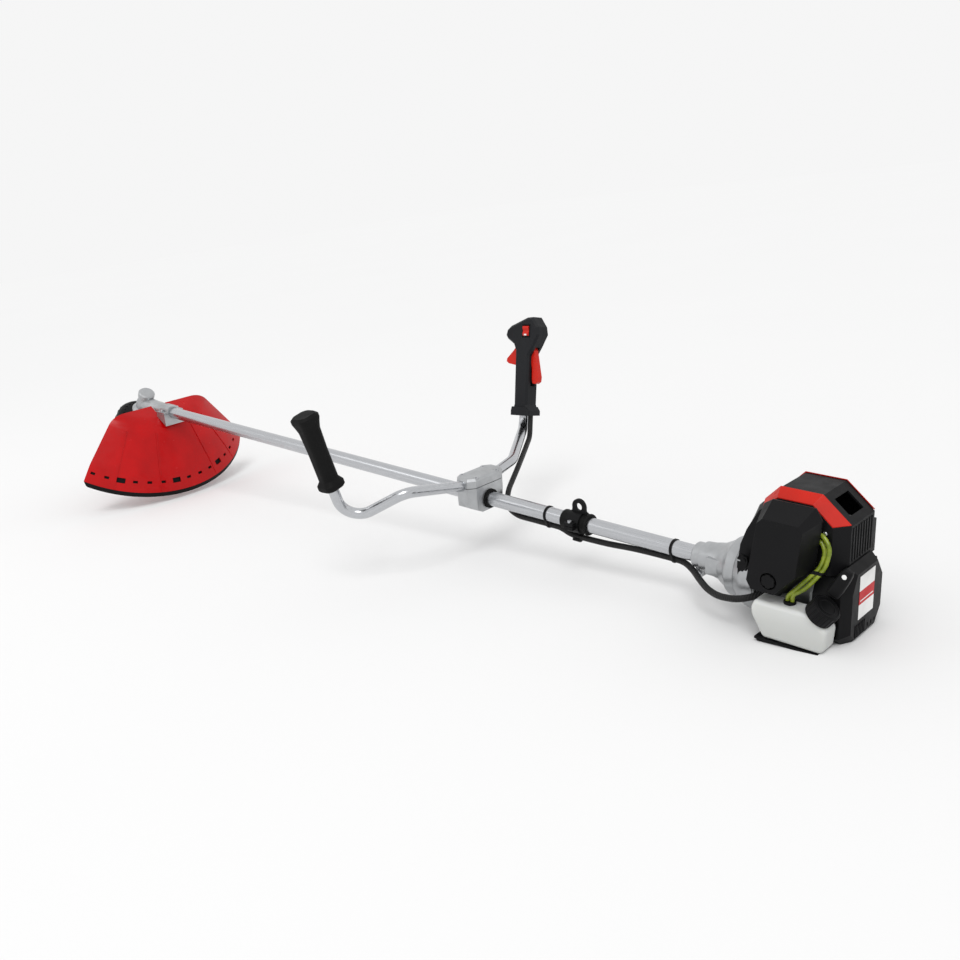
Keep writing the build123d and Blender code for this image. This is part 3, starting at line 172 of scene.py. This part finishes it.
def cast_metal(name, color, roughness, grain=420.0):
    """Die-cast aluminium: pebbled skin with a faint mottle."""
    shader = Shader(name, color, roughness, 0.85)
    shader.vary_color(shader.noise(30, 5), shade(color, 0.82), shade(color, 1.08))
    shader.vary_roughness(shader.noise(90, 4), roughness - 0.08, roughness + 0.10)
    shader.bump(shader.noise(grain, 3), 0.00022, 0.45)
    shader.bump(shader.voronoi(grain * 0.45), 0.0001, 0.25)
    return shader.material


SOFT = {"Specular_IOR_Level": 0.11}
TUBE = drawn_metal("tube_aluminium", (0.52, 0.53, 0.55), 0.24)
BAR = drawn_metal("bar_aluminium", (0.52, 0.53, 0.55), 0.20, (60, 12, 60))
CAST = cast_metal("cast_aluminium", (0.44, 0.45, 0.46), 0.38)
CAST_GREY = cast_metal("cast_grey", (0.26, 0.27, 0.27), 0.5)
STEEL = drawn_metal("steel", (0.50, 0.51, 0.53), 0.32, (80, 80, 80))
DARK_FINS = cast_metal("dark_fins", (0.06, 0.06, 0.065), 0.55)
HEAT_STEEL = drawn_metal("exhaust_steel", (0.20, 0.19, 0.18), 0.5, (30, 30, 30))
RED = moulded("guard_red", (0.42, 0.001, 0.002), 0.20, 500, 0.00003, Specular_IOR_Level=0.22)
TRIM_RED = moulded("trim_red", (0.50, 0.014, 0.006), 0.30, 700, 0.00005, Specular_IOR_Level=0.2)
BLACK = moulded("black_plastic", (0.0055, 0.0055, 0.006), 0.40, **SOFT)
COVER_BLACK = moulded("cover_black", (0.0058, 0.0058, 0.0064), 0.40, 650, 0.0001, **SOFT)
CHARCOAL = moulded("charcoal", (0.0064, 0.0064, 0.0071), 0.44, 650, 0.0001, **SOFT)
HANDLE_GREY = moulded("handle_grey", (0.0135, 0.0142, 0.016), 0.45, 700, 0.0001, **SOFT)
RUBBER = moulded("rubber", (0.0055, 0.0055, 0.0055), 0.6, 500, 0.00015, **SOFT)
LINE_PLASTIC = moulded("line_plastic", (0.70, 0.70, 0.66), 0.25, 700, 0.00003, Transmission_Weight=0.35)
WHITE = moulded("label_white", (0.76, 0.76, 0.75), 0.4, Specular_IOR_Level=0.2)
LABEL_RED = moulded("label_red", (0.46, 0.003, 0.007), 0.4, Specular_IOR_Level=0.2)


def corrugated():
    """Black split conduit: rings every few millimetres along its run."""
    shader = Shader("conduit", (0.008, 0.008, 0.008), 0.5, Specular_IOR_Level=0.25)
    rings = shader.tree.nodes.new("ShaderNodeTexWave")
    rings.inputs["Scale"].default_value = 90
    rings.inputs["Distortion"].default_value = 0.6
    shader.link(shader.place, rings.inputs["Vector"])
    shader.vary_roughness(shader.noise(50, 4), 0.42, 0.6)
    shader.bump(rings.outputs["Fac"], 0.0008, 0.7)
    return shader.material


TANK_BOTTOM = -0.092
TANK_SHOULDER = -0.020


def tank_plastic():
    """Milky polyethylene: light passes into it, and painted light and shade make it lighter towards the
    shoulder and darker towards the bottom.
    """
    shader = Shader("tank_plastic", (0.55, 0.56, 0.53), 0.36, Subsurface_Weight=0.4, Subsurface_Scale=0.01)
    shader.set("Subsurface Radius", (1.0, 0.95, 0.8))
    split = shader.tree.nodes.new("ShaderNodeSeparateXYZ")
    shader.link(shader.place, split.inputs["Vector"])
    level = shader.tree.nodes.new("ShaderNodeMapRange")
    level.inputs["From Min"].default_value = TANK_BOTTOM
    level.inputs["From Max"].default_value = TANK_SHOULDER
    shader.link(split.outputs["Z"], level.inputs["Value"])
    # Painted light and shade: the colour runs from a shaded tone at the bottom to a lit tone at the
    # shoulder.
    painted_light_tones = [(0.05, (0.47, 0.48, 0.46)), (0.55, (0.54, 0.55, 0.53)), (1.0, (0.66, 0.67, 0.65))]
    shader.link(shader.ramp(level.outputs["Result"], painted_light_tones), shader.surface.inputs["Base Color"])
    shader.vary_roughness(shader.noise(40, 4), 0.32, 0.46)
    shader.bump(shader.noise(260, 3), 0.0002, 0.25)
    return shader.material


def fuel_line_plastic():
    """Clear yellow-green tube, deeper in colour where it is thick."""
    shader = Shader("fuel_line", (0.30, 0.38, 0.02), 0.16, Transmission_Weight=0.25, IOR=1.45)
    shader.vary_color(shader.noise(70, 3), (0.15, 0.21, 0.008), (0.36, 0.44, 0.04))
    shader.bump(shader.noise(200, 2), 0.0001, 0.2)
    return shader.material


def foam():
    shader = Shader("foam", (0.05, 0.05, 0.05), 0.95)
    cells = shader.voronoi(900)
    shader.vary_color(cells, (0.02, 0.02, 0.02), (0.10, 0.10, 0.10))
    shader.bump(cells, 0.0006, 0.9)
    return shader.material


def rope():
    shader = Shader("rope", (0.75, 0.74, 0.70), 0.8)
    weave = shader.voronoi(1400)
    shader.vary_color(weave, (0.45, 0.44, 0.40), (0.85, 0.84, 0.80))
    shader.bump(weave, 0.0004, 0.8)
    return shader.material


TANK = tank_plastic()
FUEL_LINE = fuel_line_plastic()
FOAM = foam()
ROPE = rope()
CONDUIT = corrugated()

# ---------------------------------------------------------------- the CAD nodes that stay visible
FINISH = {
    TUBE: ["shaft_tube"],
    BAR: ["left_handlebar", "right_handlebar"],
    CAST: ["gearbox_housing", "handle_bracket", "handle_cap", "clutch_housing", "fan_housing",
           "guard_bracket", "connecting_rod", "piston"],
    CAST_GREY: ["carburettor", "crankcase", "flywheel"],
    STEEL: ["bearings", "drive_shaft", "output_spindle", "line_cutter", "clamp_screws", "clutch_drum",
            "crankshaft", "carb_throttle_lever"],
    DARK_FINS: ["cylinder"],
    HEAT_STEEL: ["muffler"],
    RED: ["guard"],
    TRIM_RED: ["cover_trim", "throttle_trigger", "lockout_lever", "ignition_switch"],
    BLACK: ["trimmer_head", "line_spool", "spool_cover", "bump_knob", "hanger_clamp", "muffler_guard",
            "starter_housing", "starter_pulley", "starter_grip", "air_filter_case", "choke_lever",
            "filter_knob", "fuel_cap", "tank_guard", "cable_ties"],
    COVER_BLACK: ["air_filter_cover"],
    CHARCOAL: ["engine_cover"],
    CONDUIT: ["control_cable"],
    HANDLE_GREY: ["throttle_handle_inner", "throttle_handle_outer"],
    RUBBER: ["guard_skirt", "left_grip", "shaft_rubbers", "spark_plug", "tank_grommet", "primer_bulb"],
    LINE_PLASTIC: ["trimmer_lines"],
    TANK: ["fuel_tank"],
    FUEL_LINE: ["fuel_lines"],
    FOAM: ["air_filter_foam"],
    ROPE: ["starter_rope"],
}
# Rounding of edges in metres, where it isn't PLAIN_EDGE.
PLAIN_EDGE = 0.0005
EDGE = {"guard": 0.0006, "fuel_tank": 0.0006, "cover_trim": 0.0004, "engine_cover": 0.0018,
        "air_filter_cover": 0.004, "starter_housing": 0.0015,
        "throttle_handle_inner": 0.0028, "throttle_handle_outer": 0.0028,
        "handle_bracket": 0.005, "handle_cap": 0.005}
for name in ("clutch_housing", "muffler_guard", "hanger_clamp", "left_grip", "gearbox_housing",
             "trimmer_head", "spool_cover"):
    EDGE[name] = 0.0012
NO_EDGE = {"control_cable", "fuel_lines", "trimmer_lines", "shaft_tube", "left_handlebar", "right_handlebar",
           "bearings", "line_cutter", "cylinder", "flywheel", "starter_rope"}
WELD_GAP = 0.00001
SHARP_ANGLE = radians(28)


def soften(piece, width, segments=2):
    """Rounds a CAD node's edges, so that they catch light as moulded and cast edges do."""
    weld = piece.modifiers.new("weld", "WELD")
    weld.merge_threshold = WELD_GAP
    if width:
        bevel = piece.modifiers.new("edges", "BEVEL")
        bevel.width = width
        bevel.segments = segments
        bevel.limit_method = "ANGLE"
        bevel.angle_limit = SHARP_ANGLE
        bevel.use_clamp_overlap = True
    normals = piece.modifiers.new("normals", "WEIGHTED_NORMAL")
    normals.keep_sharp = True


def dress(piece, material):
    piece.data.materials.clear()
    piece.data.materials.append(material)


for material, names in FINISH.items():
    for name in names:
        dress(NODES[name], material)
        if name not in NO_EDGE:
            soften(NODES[name], EDGE.get(name, PLAIN_EDGE))


# ---------------------------------------------------------------- pieces built here
def built(name, points, faces, material, body, slot, edge=0.0):
    """A mesh of row-frame points that moves with a body, with its edges rounded by `edge` metres."""
    mesh = bpy.data.meshes.new(name)
    mesh.from_pydata(points, [], faces)
    mesh.materials.append(material)
    piece = bpy.data.objects.new(name, mesh)
    SCENE.collection.objects.link(piece)
    work = bmesh.new()
    work.from_mesh(mesh)
    bmesh.ops.recalc_face_normals(work, faces=work.faces)
    for face in work.faces:
        face.smooth = True
    work.to_mesh(mesh)
    work.free()
    soften(piece, edge, 4)
    if body:
        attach(piece, body)
    return piece


def plate(centre, across, up, size):
    """Corners and faces of a box about a point: width along `across`, thickness, height along `up`."""
    across, up = across.normalized(), up.normalized()
    through = across.cross(up)
    width, depth, height = (value / 2000 for value in size)
    corners = []
    for c in (-1, 1):
        for b in (-1, 1):
            for a in (-1, 1):
                corners.append(centre + across * a * width + through * b * depth + up * c * height)
    faces = [(0, 1, 3, 2), (4, 6, 7, 5), (0, 4, 5, 1), (2, 3, 7, 6), (0, 2, 6, 4), (1, 5, 7, 3)]
    return corners, faces


def skin_rows(rows, count):
    """Faces between rows of `count` points each, closed by one face at either end."""
    faces = []
    for row in range(rows - 1):
        for step in range(count):
            following = (step + 1) % count
            low, high = row * count, (row + 1) * count
            faces.append((low + step, low + following, high + following, high + step))
    faces.append(tuple(range(count)))
    faces.append(tuple(range((rows - 1) * count, rows * count)))
    return faces


def lathe(start, axis, profile, count=40):
    """Points and faces of a profile of (radius, height) in millimetres, turned about an axis."""
    axis = axis.normalized()
    side = axis.orthogonal().normalized()
    other = axis.cross(side)
    points = []
    for radius, height in profile:
        for step in range(count):
            angle = 2 * pi * step / count
            rim = side * cos(angle) + other * sin(angle)
            points.append(start + (axis * height + rim * radius) / 1000)
    return points, skin_rows(len(profile), count)


LEVEL = Vector((1, 0, 0))
OUTWARD = Vector((0, 1, 0))
UP = Vector((0, 0, 1))

# Starter: a thick paddle-shaped pull on its rope, and a label in three bands with no lettering.
PULL_LEAN = Vector((0.46, 0, 0.888))
PULL_SIDE = Vector((0.888, 0, -0.46))
PULL_CENTRE = here(490, -71, 50)
# (height, half width, half depth) up the pull, in millimetres
PULL_SECTIONS = [(-23, 6.5, 4.5), (-21, 8.5, 6), (-10, 9.5, 6.6), (8, 9, 6.6), (17, 8, 6.2), (22, 6.5, 5),
                 (23.5, 4, 3)]
PULL_SQUARENESS = 0.6


def squared(value):
    """Swells a circle's sine or cosine, so that the section becomes a rounded rectangle."""
    return abs(value) ** PULL_SQUARENESS * (1 if value > 0 else -1)


def pull():
    points = []
    count = 24
    for height, half_width, half_depth in PULL_SECTIONS:
        for step in range(count):
            angle = 2 * pi * step / count
            wide = squared(cos(angle)) * half_width
            deep = squared(sin(angle)) * half_depth
            points.append(PULL_CENTRE + (PULL_LEAN * height + PULL_SIDE * wide + OUTWARD * deep) / 1000)
    faces = skin_rows(len(PULL_SECTIONS), count)
    piece = built("pull_grip", points, faces, BLACK, "starter_grip", "black_plastic")
    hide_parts("starter_grip")
    seat = PULL_CENTRE + PULL_LEAN * 0.014 - OUTWARD * 0.0058
    dot = lathe(seat, -OUTWARD, [(3.4, 0), (3.4, 0.8), (2.9, 1.2)], 24)
    built("pull_dot", *dot, WHITE, "starter_grip", "white_plastic")


def pull_rope():
    """Braided rope from the guide to the pull."""
    profile = [(1.8, 1.5 * step) for step in range(17)]
    rope_piece = built("pull_rope", *lathe(here(486, -45, 48.5), -OUTWARD, profile, 16), ROPE, None, "rope")
    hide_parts("starter_rope")
    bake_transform(rope_piece)


def label():
    bands = [("label_top", 33.5, 22, WHITE, "white_plastic"),
             ("label_band", 12.5, 20, LABEL_RED, "red_plastic"),
             ("label_low", -8.5, 22, WHITE, "white_plastic")]
    for name, middle, height, material, slot in bands:
        band = plate(here(497.25, -5, middle), OUTWARD, UP, (46, 0.5, height))
        built(name, *band, material, "frame", slot, 0.0001)
    rule = plate(here(497.55, -5, 7.5), OUTWARD, UP, (40, 0.3, 1.6))
    built("label_rule", *rule, WHITE, "frame", "white_plastic", 0.0001)


def starter_ribs():
    for number in range(7):
        rib = plate(here(497.3, -34 + 4.6 * number, -35), OUTWARD, UP, (2.2, 1.6, 18))
        built(f"starter_rib_{number + 1}", *rib, CHARCOAL, "frame", "black_plastic", 0.0005)


# Engine's left side: clip round the fuel lines, screws by the carburettor, catch at the cover's front edge.
def engine_details():
    along = Vector((12, 5, 18.5))
    clip = plate(here(457.3, -71.3, 55.5), LEVEL, along, (16, 8.4, 6))
    built("line_clip", *clip, BLACK, "frame", "black_plastic", 0.001)
    for number, (x, z) in enumerate(((456, 105), (459.5, 91))):
        head = lathe(here(x, -51.6, z), -OUTWARD, [(3.2, 0), (3.2, 1.6), (2.4, 2.4)], 24)
        built(f"side_screw_{number + 1}", *head, STEEL, "frame", "steel", 0.0002)
    cheek = plate(here(335, -50, 9), LEVEL, UP, (16, 4, 30))
    built("cover_cheek", *cheek, CHARCOAL, "frame", "grey_plastic", 0.0015)
    catch = plate(here(333, -53.4, 33), LEVEL, UP, (10, 3.4, 15))
    built("cover_catch", *catch, BLACK, "frame", "black_plastic", 0.0012)
    edge = plate(here(331, -55.3, 36), LEVEL, UP, (5, 0.8, 2))
    built("catch_edge", *edge, CAST, "frame", "cast_aluminium", 0.0002)


def cap_ring():
    """Raised ring and rim on the fuel cap's top."""
    lean = Vector((0.6, 0, 0.79)).normalized()
    top = here(462, -81.2, -5) + lean * 0.0262
    for name, radius in (("cap_ring", 11.5), ("cap_rim", 17.6)):
        section = [(1.1, -0.4), (0.9, 0.7), (0, 1.1), (-0.9, 0.7), (-1.1, -0.4)]
        profile = [(radius + out, height) for out, height in section]
        built(name, *lathe(top, lean, profile, 64), CHARCOAL, "fuel_cap", "black_plastic")


# Throttle handle: white mark on the rocker and a dark frame round it.
def handle_details():
    mark = plate(on_handle(12, -19.0, 158.6), HANDLE_AHEAD, HANDLE_UP, (6, 1.2, 3))
    built("switch_mark", *mark, WHITE, "ignition_switch", "white_plastic", 0.0002)
    for name, x, z, wide, tall in (("frame_front", 3.0, 166, 2, 25), ("frame_back", 21.0, 166, 2, 25),
                                   ("frame_low", 12, 154.0, 20, 2), ("frame_top", 12, 178.0, 20, 2)):
        bar = plate(on_handle(x, -16.6, z), HANDLE_AHEAD, HANDLE_UP, (wide, 1.4, tall))
        built("switch_" + name, *bar, BLACK, "frame", "black_plastic", 0.0004)


pull()
pull_rope()
label()
starter_ribs()
engine_details()
cap_ring()
handle_details()

# ---------------------------------------------------------------- floor, light and camera
VIEW_AZIMUTH = 43.935
VIEW_ELEVATION = 19.584
VIEW_ROLL = 3.493
VIEW_POINT = here(1037.5, -1305.05, 674.4)
FLOOR_REAR = here(382, 0, -59.6)        # where the stand's front edge and the skirt's rim touch the ground
FLOOR_FRONT = here(-1262, 0, -208)
FLOOR_REACH = 14.0
LENS = 40.384
SENSOR = 36.0


def add_camera():
    azimuth, elevation, roll = (radians(angle) for angle in (VIEW_AZIMUTH, VIEW_ELEVATION, VIEW_ROLL))
    level = Vector((cos(azimuth), sin(azimuth), 0))
    ahead = Vector((-sin(azimuth) * cos(elevation), cos(azimuth) * cos(elevation), -sin(elevation)))
    above = level.cross(ahead)
    right = cos(roll) * level - sin(roll) * above
    up = sin(roll) * level + cos(roll) * above
    data = bpy.data.cameras.new("camera")
    data.lens = LENS
    data.sensor_width = SENSOR
    data.clip_end = 50.0
    camera = bpy.data.objects.new("camera", data)
    camera.matrix_world = Matrix.Translation(VIEW_POINT) @ Matrix((right, up, -ahead)).transposed().to_4x4()
    SCENE.collection.objects.link(camera)
    SCENE.camera = camera


def add_floor():
    along = (FLOOR_REAR - FLOOR_FRONT).normalized()
    mesh = bpy.data.meshes.new("floor")
    corners = []
    for a, b in ((-1, -1), (1, -1), (1, 1), (-1, 1)):
        corners.append(FLOOR_REAR + along * a * FLOOR_REACH + OUTWARD * b * FLOOR_REACH)
    mesh.from_pydata(corners, [], [(0, 1, 2, 3)])
    floor = bpy.data.objects.new("floor", mesh)
    SCENE.collection.objects.link(floor)
    shader = Shader("floor_paper", (0.80, 0.80, 0.80), 0.95, Specular_IOR_Level=0.0)
    shader.vary_color(shader.noise(1.3, 2), (0.798, 0.798, 0.798), (0.802, 0.802, 0.802))
    floor.data.materials.append(shader.material)


def add_light(name, at, toward, size, power):
    data = bpy.data.lights.new(name, "AREA")
    data.shape = "RECTANGLE"
    data.size, data.size_y = size
    data.energy = power
    light = bpy.data.objects.new(name, data)
    light.location = at
    light.rotation_euler = (Vector(toward) - Vector(at)).to_track_quat("-Z", "Y").to_euler()
    SCENE.collection.objects.link(light)


def add_world():
    world = bpy.data.worlds.new("studio")
    world.use_nodes = True
    background = world.node_tree.nodes["Background"]
    background.inputs["Color"].default_value = (1, 1, 1, 1)
    background.inputs["Strength"].default_value = 0.92
    SCENE.world = world


def add_sun():
    """A broad sun from behind the camera, for a soft contact shadow."""
    sun = bpy.data.lights.new("sun", "SUN")
    sun.energy = 0.9
    sun.angle = radians(25)
    lamp = bpy.data.objects.new("sun", sun)
    lamp.rotation_euler = Vector((-0.35, 0.5, -1.0)).to_track_quat("-Z", "Y").to_euler()
    SCENE.collection.objects.link(lamp)


add_camera()
add_floor()
add_world()
add_sun()
add_light("key", (0.5, -1.9, 2.2), (-0.2, 0, 0), (1.4, 0.5), 5)
add_light("fill", (-2.2, -1.6, 1.4), (-0.8, 0, 0), (1.2, 0.6), 3)
